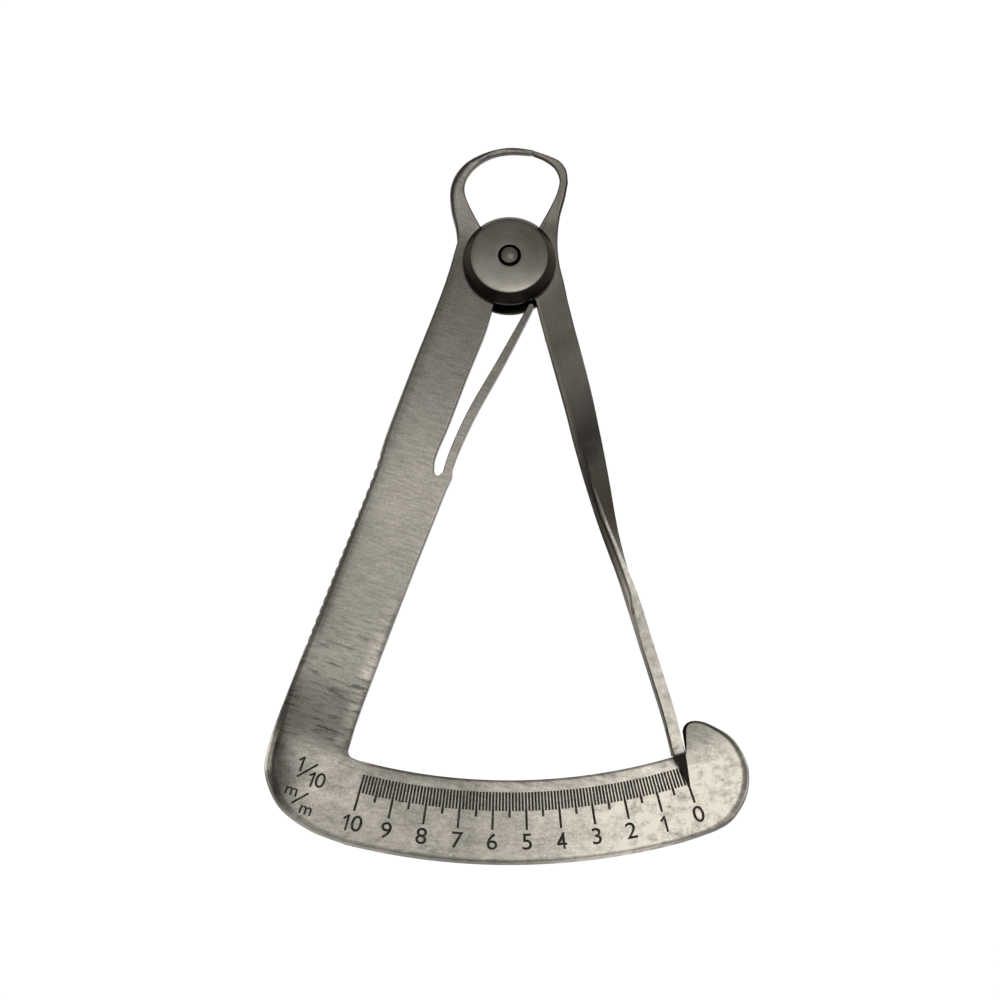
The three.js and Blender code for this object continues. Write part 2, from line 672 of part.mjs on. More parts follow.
function washer(low) {
  const bore = RIVET_RADIUS + RUNNING_CLEARANCE;
  const high = low + WASHER_THICK;
  return turned([[bore, low], [LAP_RADIUS, low], [LAP_RADIUS, high], [bore, high], [bore, low]], 48);
}

// Steel finishes, and the pieces with their names
const brushed = new THREE.MeshStandardMaterial({ color: 0x9a958a, roughness: 0.42, metalness: 1 });
const ground = new THREE.MeshStandardMaterial({ color: 0x8a857b, roughness: 0.38, metalness: 1 });
const turnedSteel = new THREE.MeshStandardMaterial({ color: 0x77736b, roughness: 0.34, metalness: 1 });
const darkSteel = new THREE.MeshStandardMaterial({ color: 0x55524c, roughness: 0.4, metalness: 1 });

const group = new THREE.Group();

function place(name, geometry, material) {
  const mesh = new THREE.Mesh(geometry, material);
  mesh.name = name;
  group.add(mesh);
}

place('frame_plate', framePlate(), brushed);
place('spring_tongue', springTongue(), brushed);
place('swing_arm', swingArm(), ground);
place('front_cap', frontCap(), turnedSteel);
place('rear_cap', rearCap(), turnedSteel);
place('pivot_rivet', pivotRivet(), darkSteel);
place('front_washer', washer(plateFace), darkSteel);
place('rear_washer', washer(REAR_CAP_THICK), darkSteel);

export default group;
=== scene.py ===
# Diamond gauge: a steel thickness gauge for cut stones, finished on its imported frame. Lengths are in
# metres, and MM turns millimetres into them. Materials and turned profiles count in millimetres. Scale
# angles start at -Y and grow to the right.
import json
import math

import bmesh
import bpy
from mathutils import Matrix, Vector


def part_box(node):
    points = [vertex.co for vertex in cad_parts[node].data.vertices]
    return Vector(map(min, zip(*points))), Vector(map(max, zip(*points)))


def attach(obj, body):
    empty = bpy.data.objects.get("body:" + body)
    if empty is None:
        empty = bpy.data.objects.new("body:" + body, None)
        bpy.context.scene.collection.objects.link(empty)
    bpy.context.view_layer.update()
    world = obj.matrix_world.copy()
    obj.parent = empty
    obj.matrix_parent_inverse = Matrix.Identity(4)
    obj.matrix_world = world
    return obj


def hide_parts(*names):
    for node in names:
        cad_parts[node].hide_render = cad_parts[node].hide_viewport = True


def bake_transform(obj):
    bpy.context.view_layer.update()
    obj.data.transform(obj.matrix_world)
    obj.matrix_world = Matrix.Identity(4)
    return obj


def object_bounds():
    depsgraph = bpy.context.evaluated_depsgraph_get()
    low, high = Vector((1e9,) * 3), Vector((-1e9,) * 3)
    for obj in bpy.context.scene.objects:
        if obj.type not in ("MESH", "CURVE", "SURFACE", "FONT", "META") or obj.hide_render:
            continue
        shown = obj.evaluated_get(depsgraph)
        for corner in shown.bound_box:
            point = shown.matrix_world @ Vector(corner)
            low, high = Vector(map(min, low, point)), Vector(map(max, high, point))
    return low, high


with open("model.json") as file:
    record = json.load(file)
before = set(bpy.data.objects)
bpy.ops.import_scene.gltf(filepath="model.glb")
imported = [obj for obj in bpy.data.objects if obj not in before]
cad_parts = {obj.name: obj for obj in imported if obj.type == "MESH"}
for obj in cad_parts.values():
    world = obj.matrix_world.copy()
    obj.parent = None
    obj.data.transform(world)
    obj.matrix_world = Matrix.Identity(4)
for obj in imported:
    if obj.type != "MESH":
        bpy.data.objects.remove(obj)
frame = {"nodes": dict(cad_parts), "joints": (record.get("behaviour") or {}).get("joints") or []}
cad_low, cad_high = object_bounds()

# Camera: it looks at the gauge from above and a little from the scale's side, and from so far away that
# the picture is nearly flat. The picture's width is what 1000 pixels span at the front of the plate.
MM = 0.001
PICTURE_WIDTH = 149.25 * MM
CAMERA_TILT = math.radians(19.9)
CAMERA_DISTANCE = 5
CLIP_START = 0.1
CLIP_END = 20
plate_low, plate_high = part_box("frame_plate")
picture_centre = Vector((-1.42 * MM, -37.78 * MM, plate_high.z))

camera_data = bpy.data.cameras.new("camera")
camera_data.lens = camera_data.sensor_width * CAMERA_DISTANCE / PICTURE_WIDTH
camera_data.clip_start = CLIP_START
camera_data.clip_end = CLIP_END
camera = bpy.data.objects.new("camera", camera_data)
towards_camera = Vector((0, -math.sin(CAMERA_TILT), math.cos(CAMERA_TILT)))
camera.location = picture_centre + CAMERA_DISTANCE * towards_camera
camera.rotation_euler = (CAMERA_TILT, 0, 0)
bpy.context.scene.collection.objects.link(camera)
bpy.context.scene.camera = camera


# Studio: a white floor and a low white backdrop in a dim room, with one softbox high up on the right. The
# plain steel mirrors all of it. The softbox shines in the scale's right part, and the hub stays dark; the
# plate's painted light and shade add to both.
class Wire:
    """One output of a node tree. Python's operators on wires add Math nodes to the tree."""

    def __init__(self, tree, socket=None):
        self.tree = tree
        self.socket = socket

    def node(self, kind, settings=(), inputs=(), output=0):
        """Adds a node: first its settings, then the values or wires of its sockets."""
        made = self.tree.nodes.new(kind)
        for name, value in dict(settings).items():
            setattr(made, name, value)
        for name, value in dict(inputs).items():
            if isinstance(value, Wire):
                self.tree.links.new(value.socket, made.inputs[name])
            else:
                made.inputs[name].default_value = value
        return Wire(self.tree, made.outputs[output] if made.outputs else None)

    def maths(self, operation, *others):
        return self.node("ShaderNodeMath", {"operation": operation}, enumerate((self, *others)))

    def __add__(self, other):
        return self.maths("ADD", other)

    def __sub__(self, other):
        return self.maths("SUBTRACT", other)

    def __rsub__(self, other):
        return self.node("ShaderNodeMath", {"operation": "SUBTRACT"}, {0: other, 1: self})

    def __mul__(self, other):
        return self.maths("MULTIPLY", other)

    def __truediv__(self, other):
        return self.maths("DIVIDE", other)

    __radd__ = __add__
    __rmul__ = __mul__

    def step(self, low, high):
        """0 up to low, 1 from high, and smooth between them. Low may be the larger."""
        inputs = {"Value": self, "From Min": low, "From Max": high}
        return self.node("ShaderNodeMapRange", {"interpolation_type": "SMOOTHSTEP"}, inputs)

    def mix(self, without, with_all):
        """The first colour where this wire is 0, and the second where it is 1."""
        # A Mix node's sockets share their names, so its factor, colours and result go by number
        inputs = {0: self, 6: without, 7: with_all}
        return self.node("ShaderNodeMix", {"data_type": "RGBA"}, inputs, 2)

    def curve(self, start, end, stops):
        """A smooth curve through (place, level) stops. Places run from start to end, levels from 0 to 1."""
        made = self.node("ShaderNodeFloatCurve", inputs={"Value": (self - start) / (end - start)})
        mapping = made.socket.node.mapping
        mapping.extend = "HORIZONTAL"
        line = mapping.curves[0].points
        line[0].location = ((stops[0][0] - start) / (end - start), stops[0][1])
        line[1].location = ((stops[-1][0] - start) / (end - start), stops[-1][1])
        for spot, level in stops[1:-1]:
            line.new((spot - start) / (end - start), level)
        mapping.update()
        return made

    def axis(self, number):
        return self.node("ShaderNodeSeparateXYZ", inputs={0: self}, output=number)

    def vector(self, x, y, z):
        return self.node("ShaderNodeCombineXYZ", inputs={0: x, 1: y, 2: z})

    def noise(self, place, scale, detail=4, roughness=0.6):
        """Cloudy noise between 0 and 1, around 0.5."""
        inputs = {"Vector": place, "Scale": scale, "Detail": detail, "Roughness": roughness}
        return self.node("ShaderNodeTexNoise", inputs=inputs)


def bare_tree(owner):
    """The owner's node tree, emptied, as a wire that nodes are added from."""
    owner.use_nodes = True
    owner.node_tree.nodes.clear()
    return Wire(owner.node_tree)


def background_rays(tree):
    """Two masks: rays from the camera, and rays that are mirrored in metal or go through glass."""
    camera_ray = tree.node("ShaderNodeLightPath", output="Is Camera Ray")
    glossy_ray = tree.node("ShaderNodeLightPath", output="Is Glossy Ray")
    glass_ray = tree.node("ShaderNodeLightPath", output="Is Transmission Ray")
    return camera_ray, glossy_ray.maths("MAXIMUM", glass_ray)


def grey(level):
    """A grey from its linear level between 0 and 1."""
    return (level, level, level, 1)


WHITE = grey(1)
BLACK = grey(0)
ROOM_WALL = 0.09
ROOM_CEILING = 0.3
ROOM_FRONT = 0.45
BACKDROP_HEIGHT = 0.04
FLOOR_SIZE = 8
FLOOR_DROP = 0.2 * MM
FLOOR_PAPER = 0.9
FLOOR_GLOW = 1.1
FLOOR_GLOW_SHARE = 0.9
SOFTBOX_LEVEL = 1.9
SOFTBOX_SIZE = Vector((0.17, 0.13))
SOFTBOX_PLACE = Vector((0.065, 0.01, 0.35))

world = bpy.data.worlds.new("studio")
bpy.context.scene.world = world
sky = bare_tree(world)
seen, mirrored = background_rays(sky)
direction = sky.node("ShaderNodeTexCoord", output="Generated")
height = direction.axis(2)
backdrop = seen.maths("MAXIMUM", mirrored * height.step(BACKDROP_HEIGHT * 2, BACKDROP_HEIGHT))
room = height.step(0.1, 0.8).mix(grey(ROOM_WALL), grey(ROOM_CEILING))
room = (0 - direction.axis(1)).step(0.1, 0.5).mix(room, grey(ROOM_FRONT))
sky_light = sky.node("ShaderNodeBackground", inputs={"Color": backdrop.mix(room, WHITE)})
sky.node("ShaderNodeOutputWorld", inputs={"Surface": sky_light})

paper = bpy.data.materials.new("white_paper")
sheet = bare_tree(paper)
seen, mirrored = background_rays(sheet)
matt = sheet.node("ShaderNodeBsdfDiffuse", inputs={"Color": grey(FLOOR_PAPER)})
glow = sheet.node("ShaderNodeEmission", inputs={"Color": WHITE, "Strength": FLOOR_GLOW})
glowing = (seen + mirrored) * FLOOR_GLOW_SHARE
surface = sheet.node("ShaderNodeMixShader", inputs={0: glowing, 1: matt, 2: glow})
sheet.node("ShaderNodeOutputMaterial", inputs={"Surface": surface})

floor_mesh = bpy.data.meshes.new("floor")
reach = FLOOR_SIZE / 2
corners = [(-reach, -reach), (reach, -reach), (reach, reach), (-reach, reach)]
floor_mesh.from_pydata([(x, y, cad_low.z - FLOOR_DROP) for x, y in corners], [], [(0, 1, 2, 3)])
floor_mesh.materials.append(paper)
floor = bpy.data.objects.new("floor", floor_mesh)
bpy.context.scene.collection.objects.link(floor)

softbox_data = bpy.data.lights.new("softbox", "AREA")
softbox_data.shape = "RECTANGLE"
softbox_data.size, softbox_data.size_y = SOFTBOX_SIZE
softbox_data.energy = math.pi * SOFTBOX_LEVEL * SOFTBOX_SIZE.x * SOFTBOX_SIZE.y
softbox = bpy.data.objects.new("softbox", softbox_data)
softbox.location = SOFTBOX_PLACE
bpy.context.scene.collection.objects.link(softbox)
bpy.context.scene.view_settings.view_transform = "Standard"


# Frame plate: one flat blank of stainless steel with the left jaw, the leg, the scale and the stop bulb.
# It is sawn out, rounded over at its edges, brushed across the leg, and engraved and filled with black.
JAW_RADIUS = 17.75 * MM
ZERO_ANGLE = math.radians(17.83)
LEG_LEAN = math.radians(19.3)
MERGE_DISTANCE = 0.002 * MM
FLAT_ANGLE = math.radians(0.3)
SHARP_ANGLE = math.radians(34)


def shown(name, data):
    """A new object in the scene that holds the mesh or text."""
    piece = bpy.data.objects.new(name, data)
    bpy.context.scene.collection.objects.link(piece)
    return piece


def baked(piece):
    """The piece's mesh with its modifiers, which are then removed."""
    scenery = bpy.context.evaluated_depsgraph_get()
    scenery.update()
    mesh = bpy.data.meshes.new_from_object(piece.evaluated_get(scenery), depsgraph=scenery)
    piece.modifiers.clear()
    return mesh


def merged_copy(node, name, material):
    """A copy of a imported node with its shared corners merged."""
    mesh = frame["nodes"][node].data.copy()
    mesh.materials.clear()
    mesh.materials.append(material)
    solid = bmesh.new()
    solid.from_mesh(mesh)
    bmesh.ops.remove_doubles(solid, verts=solid.verts, dist=MERGE_DISTANCE)
    solid.to_mesh(mesh)
    solid.free()
    return shown(name, mesh)


def smoothed(piece):
    """Makes the flat faces whole and shades them flat, and the rounded edges smooth."""
    solid = bmesh.new()
    solid.from_mesh(piece.data)
    bmesh.ops.dissolve_limit(solid, angle_limit=FLAT_ANGLE, verts=solid.verts, edges=solid.edges)
    solid.to_mesh(piece.data)
    solid.free()
    piece.data.polygons.foreach_set("use_smooth", [True] * len(piece.data.polygons))
    piece.data.set_sharp_from_angle(angle=SHARP_ANGLE)
    weights = piece.modifiers.new("flat faces", "WEIGHTED_NORMAL")
    weights.keep_sharp = True
    piece.data = baked(piece)
    return piece


def prism(outline, low, high):
    """A closed mesh that stands on an outline of (x, y) corners, listed counter-clockwise."""
    count = len(outline)
    corners = [(x, y, low) for x, y in outline] + [(x, y, high) for x, y in outline]
    sides = [(i, (i + 1) % count, (i + 1) % count + count, i + count) for i in range(count)]
    mesh = bpy.data.meshes.new("prism")
    mesh.from_pydata(corners, [], [tuple(reversed(range(count))), tuple(range(count, 2 * count)), *sides])
    return mesh


def carved(piece, tool, operation="DIFFERENCE"):
    """Cuts the tool out of the piece, or joins the two. The new faces keep the tool's material."""
    knife = piece.modifiers.new("carve", "BOOLEAN")
    knife.operation = operation
    knife.solver = "EXACT"
    knife.use_self = True
    knife.material_mode = "TRANSFER"
    knife.object = tool
    piece.data = baked(piece)
    bpy.data.objects.remove(tool)
    return piece


def linear(red, green, blue):
    """A colour from its usual 0 to 255 numbers."""
    return tuple(((level / 255 + 0.055) / 1.055) ** 2.4 for level in (red, green, blue)) + (1,)


def length(across, up):
    """The length of an arrow from its two sides, as a wire."""
    return (across * across + up * up).maths("SQRT")


def coordinates(tree):
    """A point's place and normal, its x, y and z in millimetres, and how far it is from the pivot."""
    place = tree.node("ShaderNodeTexCoord", output="Object")
    normal = tree.node("ShaderNodeTexCoord", output="Normal")
    x = place.axis(0) / MM
    y = place.axis(1) / MM
    z = place.axis(2) / MM
    return place, normal, x, y, z, length(x, y)


def leaning(normal):
    """0 on faces that look to the front or back, and 1 on walls that stand on the plate's plane."""
    return (1 - normal.axis(2) * normal.axis(2)).maths("MAXIMUM", 0).maths("SQRT")


def metal(tree, colour, roughness, relief, depth, grazing=WHITE):
    """Ends a steel's node tree with its colour, its roughness, its fine relief and its colour at a slant."""
    bump = tree.node("ShaderNodeBump", inputs={"Distance": depth, "Height": relief})
    shader = tree.node("ShaderNodeBsdfPrincipled", inputs={
        "Base Color": colour,
        "Metallic": 1.0,
        "Roughness": roughness,
        "Normal": bump,
        "Specular Tint": grazing,
    })
    tree.node("ShaderNodeOutputMaterial", inputs={"Surface": shader})


black_filling = bpy.data.materials.new("black_filling")
wax = bare_tree(black_filling)
wear = wax.noise(wax.node("ShaderNodeTexCoord", output="Object"), 700).step(0.4, 0.7)
wax_colour = wear.mix(linear(46, 42, 37), linear(104, 97, 86))
wax_shader = wax.node("ShaderNodeBsdfPrincipled", inputs={"Base Color": wax_colour, "Roughness": 0.7})
wax.node("ShaderNodeOutputMaterial", inputs={"Surface": wax_shader})

# Painted light and shade: how bright the steel is painted, at stops of (millimetres, share of white): down
# the leg, along the scale and along the walls that face down, and as a factor across the leg's edges and in
# from the lower left corner
STEEL_TINT = linear(255, 247, 231)
LEG_TONES = [
    (-18, 0.22), (-14.5, 0.28), (-10, 0.48), (-5, 0.5), (-1, 0.32), (2.5, 0.26), (8.5, 0.28), (14.5, 0.32),
    (21, 0.365), (28, 0.465), (34.5, 0.535), (41, 0.57), (47.5, 0.51), (54.5, 0.48), (61, 0.46), (68, 0.48),
    (74.5, 0.28), (82, 0.24), (85, 0.42), (87, 0.68), (98, 0.6),
]
SCALE_TONES = [
    (-38, 0.55), (-31, 0.57), (-26, 0.56), (-18, 0.58), (-14, 0.56), (-8, 0.51), (-2, 0.54), (3, 0.64),
    (10, 0.76), (17, 0.9), (22, 0.96), (30, 0.86), (38, 0.88),
]
WALL_TONES = [
    (-35, 0.5), (-25, 0.5), (-16, 0.42), (-2, 0.32), (5, 0.42), (13, 0.6), (20, 0.55), (27, 0.35), (40, 0.3),
]
OUTER_EDGE_TONES = [
    (-9, 1), (-8.2, 1), (-7.9, 0.6), (-7.5, 0.48), (-7.1, 0.58), (-6.4, 0.88), (-5, 1), (0, 1),
]
INNER_EDGE_TONES = [(0, 1), (1.3, 1), (1.9, 0.95), (2.4, 0.6), (5, 0.5)]
CORNER_TONES = [
    (-0.5, 0.5), (0.5, 0.42), (1.1, 0.2), (1.7, 0.18), (2.6, 0.27), (3.4, 0.4), (4.2, 0.54), (5.5, 0.7),
    (7, 0.87), (9, 1),
]
CORNER_ACROSS = 2.07
CORNER_DOWN = 84.57
CORNER_REACH = 10.3
JAW_HALF_WIDTH = 8.9
JAW_HALF_HEIGHT = 9.2
JAW_MIDDLE = 9
ARC_EDGE = 82.5
ARC_BLUR = 0.15

plate_steel = bpy.data.materials.new("brushed_plate")
steel = bare_tree(plate_steel)
place, normal, x, y, z, radius = coordinates(steel)
below = 0 - y
down_leg = 0 - x * math.sin(LEG_LEAN) - y * math.cos(LEG_LEAN)
across_leg = x * math.cos(LEG_LEAN) - y * math.sin(LEG_LEAN)
on_scale = radius.step(79, 86)
off_scale = 1 - on_scale
on_bulb = on_scale * x.step(8, 24)
on_jaw = y.step(3, 6)
on_tongue = across_leg.step(3, 7) * below.step(6, 9) * off_scale
low_on_leg = down_leg.step(52, 74) * off_scale
below_hub = down_leg.step(-4, 25) * off_scale * x.step(20, 12)

# Grain and wear: the leg is brushed and scratched across, and the scale is rubbed, stained and pitted. A
# painted highlight lies in a patchy strip along the lower leg's inner edge
brushing = steel.noise(steel.vector(across_leg * 0.35, down_leg * 2, z), 1, 5, 0.6)
hair_lines = steel.noise(steel.vector(across_leg * 0.5, down_leg * 6, z), 1, 2, 0.6)
scratches = steel.noise(steel.vector(across_leg * 0.3, down_leg * 1.3, z), 1, 3, 0.6).step(0.5, 0.68)
rubbing = steel.noise(steel.vector(x * 0.6, y * 1.7, z), 1, 6, 0.7)
clouds = steel.noise(place, 260, 6, 0.66)
blotches = steel.noise(place, 620, 4, 0.62)
grain = steel.noise(place, 2600, 2)
pits = steel.noise(place, 900, 3).step(0.6, 0.74)
# Painted highlight: a patchy bright strip along the lower leg's inner edge
bright_inner_strip = across_leg.step(0, 1.6) * low_on_leg * (brushing * 0.5 + clouds * 0.5).step(0.42, 0.58)
uneven = (brushing - 0.5) * (0.35 - 0.3 * on_scale + 0.6 * below_hub)
uneven = uneven + (hair_lines - 0.5) * 0.4 * below_hub
uneven = uneven + (clouds - 0.5) * (0.3 + on_scale)
uneven = uneven + (rubbing - 0.5) * (1.2 * on_scale - 0.8 * on_bulb)
uneven = uneven + (blotches - 0.5) * (0.4 * on_scale + 1.4 * on_bulb)
uneven = uneven + (grain - 0.5) * 0.7
uneven = uneven - 0.3 * pits * on_scale - 0.5 * scratches * low_on_leg + 0.7 * bright_inner_strip

# Painted light and shade in the faces' tone: the leg's and the scale's, darker on the tongue, brighter above
# and left of the scale
leg_level = down_leg.curve(-20, 100, LEG_TONES)
scale_level = x.curve(-40, 40, SCALE_TONES)
upper_margin = on_scale * radius.step(84.1, 83.5) * x.step(12, 4)
round_unit = on_scale * below.step(87, 84.5) * x.step(-19, -24)
level = (leg_level + on_scale * (scale_level - leg_level)) * (1 - 0.4 * on_tongue)
level = level * (1 + 0.25 * upper_margin) * (1 + 0.25 * round_unit) * (1 + uneven)

# Painted shade on the edges: the leg's two edges, the rounded lower left corner, with a painted highlight on
# its rim, and the scale's upper edge
edge_share = 0.6 * down_leg.step(-4, 6) + 0.4 * down_leg.step(40, 50)
edge_share = edge_share * (1 - 0.8 * down_leg.step(63, 68) * down_leg.step(82, 78)) * off_scale
outer_edge = 1 - (1 - across_leg.curve(-10, 0, OUTER_EDGE_TONES)) * edge_share
inner_share = down_leg.step(52, 60) * x.step(-5, -9) * off_scale
inner_edge = 1 - (1 - across_leg.curve(0, 5, INNER_EDGE_TONES)) * inner_share
corner_x = across_leg - CORNER_ACROSS
corner_y = (down_leg - CORNER_DOWN).maths("MAXIMUM", 0)
from_corner = length(corner_x, corner_y)
corner_width = 1 + 1.2 * below.step(82, 86) + 0.7 * down_leg.step(87, 82)
corner_depth = (CORNER_REACH - from_corner) * corner_width
corner_side = (0 - corner_x / from_corner).step(0.3, 0.8) * down_leg.step(79, 84)
corner_rim = corner_depth.step(1, 0.5) * below.step(81.5, 79.5)
corner_edge = 1 + (corner_depth.curve(-1, 9, CORNER_TONES) + 1.1 * corner_rim - 1) * corner_side
arc_line = radius.step(ARC_EDGE + ARC_BLUR, ARC_EDGE - ARC_BLUR) * below.step(76, 78)
arc_line = arc_line * x.step(-21.5, -19) * x.step(25.4, 24.6)
level = level * outer_edge * inner_edge * corner_edge * (1 - 0.6 * arc_line)

# Painted shade on the roundings and walls: the bevels, the jaw's outline and rim, the stop's side, the bulb's
# right side and the walls that face down
lean = leaning(normal)
faces_foot = 0 - normal.axis(1)
faces_down = faces_foot.step(0.3, 0.8)
dark_bevel = lean.step(0.05, 0.22) * (1 - 0.75 * lean.step(0.5, 0.85))
dark_bevel = dark_bevel * (1 - 0.8 * faces_foot.step(0.05, 0.2))
bevel_share = 0.15 + 0.35 * y.step(2, 6) + 0.35 * x.step(15, 25)
jaw_outside = length(x / JAW_HALF_WIDTH, (y - JAW_MIDDLE) / JAW_HALF_HEIGHT).step(0.9, 1)
jaw_outside = jaw_outside * on_jaw * y.step(17.5, 15)
jaw_rim = on_jaw * lean.step(0.25, 0.6) * normal.axis(1).step(0.3, 0.05)
stop_side = x.step(23, 24.5) * (0 - normal.axis(0)).step(0.02, 0.25)
bulb_side = normal.axis(0).step(0.15, 0.6) * lean.step(0.6, 0.9) * on_bulb
level = level * (1 - bevel_share * dark_bevel) * (1 - 0.4 * jaw_outside) * (1 - 0.5 * jaw_rim)
level = level * (1 - 0.92 * stop_side) * (1 - 0.6 * bulb_side)
level = level * (1 - faces_down * (1 - x.curve(-40, 40, WALL_TONES)))

face_colour = level.mix(BLACK, STEEL_TINT)
# Painted shade: the upright walls take a dark colour of their own, darker on the jaws
wall = lean.step(0.8, 0.97) * (1 - faces_down * y.step(5, 1))
wall_colour = y.step(1, 5).mix(linear(96, 90, 81), linear(58, 53, 47))
relief = brushing * off_scale + (rubbing + clouds) * 0.5 * on_scale - pits * on_scale * 0.6
metal(steel, wall.mix(face_colour, wall_colour), 0.34 + 0.08 * on_scale, relief, 0.012 * MM)

# Engraving: the divisions, the numerals and the unit are cut into the face, and filled with black
FULL_READING = 10
STEPS_PER_UNIT = 10
LONG_STEPS_PER_UNIT = 2
ENGRAVING_DEPTH = 0.12 * MM
STROKE = 0.34 * MM
NUMERAL_RADIUS = 92.0 * MM
NUMERAL_HEIGHT = 2.6 * MM
UNIT_TURN = math.radians(-19)
UNIT_HEIGHT = 2.4 * MM
UNIT_LETTER_HEIGHT = 1.95 * MM
UNIT_FIGURES = [("1", -30.9, -79.55), ("1", -29.37, -82.0), ("0", -28.2, -82.3)]
UNIT_LETTERS = [("m", -32.4, -83.65), ("m", -30.3, -86.7)]
UNIT_SLASHES = [((-31.64, -81.54), (-28.5, -79.63)), ((-32.46, -85.7), (-29.9, -84.2))]
TEN_FIGURES = [("1", -0.62), ("0", 0.88)]
DRAWN_FIGURES = {
    "1": [((0.03, -0.5), (0.03, 0.5)), ((0.06, 0.48), (-0.22, 0.2))],
    "4": [((0.1, -0.5), (0.08, 0.5)), ((0.12, 0.5), (-0.27, -0.2)), ((-0.3, -0.2), (0.27, -0.2))],
}
CAPITAL_SHARE = 0.71
LETTER_OFFSET = 0.025 * MM
LETTER_CURVE_STEPS = 5
CUTTER_MERGE = 0.0005 * MM


def reading_angle(reading):
    """The scale angle of the pointer when the jaws stand that many millimetres apart."""
    return ZERO_ANGLE - 2 * math.asin(reading * MM / (2 * JAW_RADIUS))


def on_dial(radius, angle):
    """The place at a distance from the pivot and a scale angle."""
    return Vector((radius * math.sin(angle), -radius * math.cos(angle)))


def divisions_tree(filling):
    """A Geometry Nodes tree that lays out evenly read divisions as cutters."""
    tree = bpy.data.node_groups.new("divisions", "GeometryNodeTree")
    tree.interface.new_socket("Geometry", in_out="INPUT", socket_type="NodeSocketGeometry")
    named = {}
    for name in ("Count", "Steps Per Unit", "Inner Radius", "Outer Radius", "Full Radius", "Width", "Depth"):
        kind = "NodeSocketInt" if name == "Count" else "NodeSocketFloat"
        named[name] = tree.interface.new_socket(name, in_out="INPUT", socket_type=kind).identifier
    tree.interface.new_socket("Geometry", in_out="OUTPUT", socket_type="NodeSocketGeometry")
    start = Wire(tree)
    entry = tree.nodes.new("NodeGroupInput")
    size = {name: Wire(tree, entry.outputs[name]) for name in named}
    number = start.node("GeometryNodeInputIndex")
    steps = size["Steps Per Unit"]
    full = number.maths("MODULO", steps).maths("LESS_THAN", 0.5)
    outer = size["Outer Radius"] + full * (size["Full Radius"] - size["Outer Radius"])
    angle = ZERO_ANGLE - 2 * (number / steps * (MM / (2 * JAW_RADIUS))).maths("ARCSINE")
    radius = (size["Inner Radius"] + outer) / 2
    spot = start.vector(radius * angle.maths("SINE"), 0 - radius * angle.maths("COSINE"), plate_high.z)
    scale = start.vector(size["Width"], outer - size["Inner Radius"], size["Depth"] * 2)
    points = start.node("GeometryNodePoints", inputs={"Count": size["Count"], "Position": spot})
    block = start.node("GeometryNodeMeshCube")
    turn = start.vector(0, 0, angle)
    laid = {"Points": points, "Instance": block, "Rotation": turn, "Scale": scale}
    cutters = start.node("GeometryNodeInstanceOnPoints", inputs=laid)
    solid = start.node("GeometryNodeRealizeInstances", inputs={"Geometry": cutters})
    filled = start.node("GeometryNodeSetMaterial", inputs={"Geometry": solid, "Material": filling})
    start.node("NodeGroupOutput", inputs={0: filled})
    return tree, named


def divisions(layout, named, sizes):
    """One set of division cutters, as a mesh."""
    holder = shown("divisions", bpy.data.meshes.new("divisions"))
    nodes = holder.modifiers.new("divisions", "NODES")
    nodes.node_group = layout
    for name, value in sizes.items():
        nodes[named[name]] = value
    mesh = baked(holder)
    bpy.data.objects.remove(holder)
    return mesh


def stroke(start, end, wide):
    """A straight stroke between two points, as a cutter round the plate's face at height 0."""
    start = Vector(start)
    end = Vector(end)
    side = (end - start).orthogonal().normalized() * wide / 2
    outline = [start - side, end - side, end + side, start + side]
    return prism([tuple(corner) for corner in outline], -ENGRAVING_DEPTH, ENGRAVING_DEPTH)


def strokes(lines, height):
    """A figure of straight strokes, listed in shares of its height."""
    figure = bmesh.new()
    for start, end in lines:
        figure.from_mesh(stroke(Vector(start) * height, Vector(end) * height, STROKE))
    mesh = bpy.data.meshes.new("figure")
    figure.to_mesh(mesh)
    figure.free()
    return mesh


def glyph(letter, height):
    """A letter or numeral as a cutter round the origin. The 1 and the 4 are drawn, and not the font's."""
    if letter in DRAWN_FIGURES:
        return strokes(DRAWN_FIGURES[letter], height)
    letters = bpy.data.curves.new("letter", "FONT")
    letters.body = letter
    letters.size = height / CAPITAL_SHARE
    letters.extrude = ENGRAVING_DEPTH
    letters.offset = LETTER_OFFSET
    letters.align_x = "CENTER"
    letters.align_y = "CENTER"
    letters.resolution_u = LETTER_CURVE_STEPS
    holder = shown("letter", letters)
    mesh = baked(holder)
    bpy.data.objects.remove(holder)
    return mesh


def set_in(mesh, spot, turn):
    """The cutter turned about +Z and moved to that spot on the plate's face."""
    mesh.transform(Matrix.Translation((spot[0], spot[1], plate_high.z)) @ Matrix.Rotation(turn, 4, "Z"))
    return mesh


layout, named = divisions_tree(black_filling)
engravings = [
    divisions(layout, named, {
        "Count": FULL_READING * STEPS_PER_UNIT + 1,
        "Steps Per Unit": STEPS_PER_UNIT,
        "Inner Radius": 84.05 * MM,
        "Outer Radius": 87 * MM,
        "Full Radius": 87 * MM,
        "Width": 0.32 * MM,
        "Depth": ENGRAVING_DEPTH,
    }),
    divisions(layout, named, {
        "Count": FULL_READING * LONG_STEPS_PER_UNIT + 1,
        "Steps Per Unit": LONG_STEPS_PER_UNIT,
        "Inner Radius": 86.8 * MM,
        "Outer Radius": 88 * MM,
        "Full Radius": 90 * MM,
        "Width": 0.36 * MM,
        "Depth": ENGRAVING_DEPTH,
    }),
]
for value in range(FULL_READING):
    angle = reading_angle(value)
    engravings.append(set_in(glyph(str(value), NUMERAL_HEIGHT), on_dial(NUMERAL_RADIUS, angle), angle))
full_angle = reading_angle(FULL_READING)
for figure, aside in TEN_FIGURES:
    spot = on_dial(NUMERAL_RADIUS, full_angle + aside * MM / NUMERAL_RADIUS)
    engravings.append(set_in(glyph(figure, NUMERAL_HEIGHT), spot, full_angle))
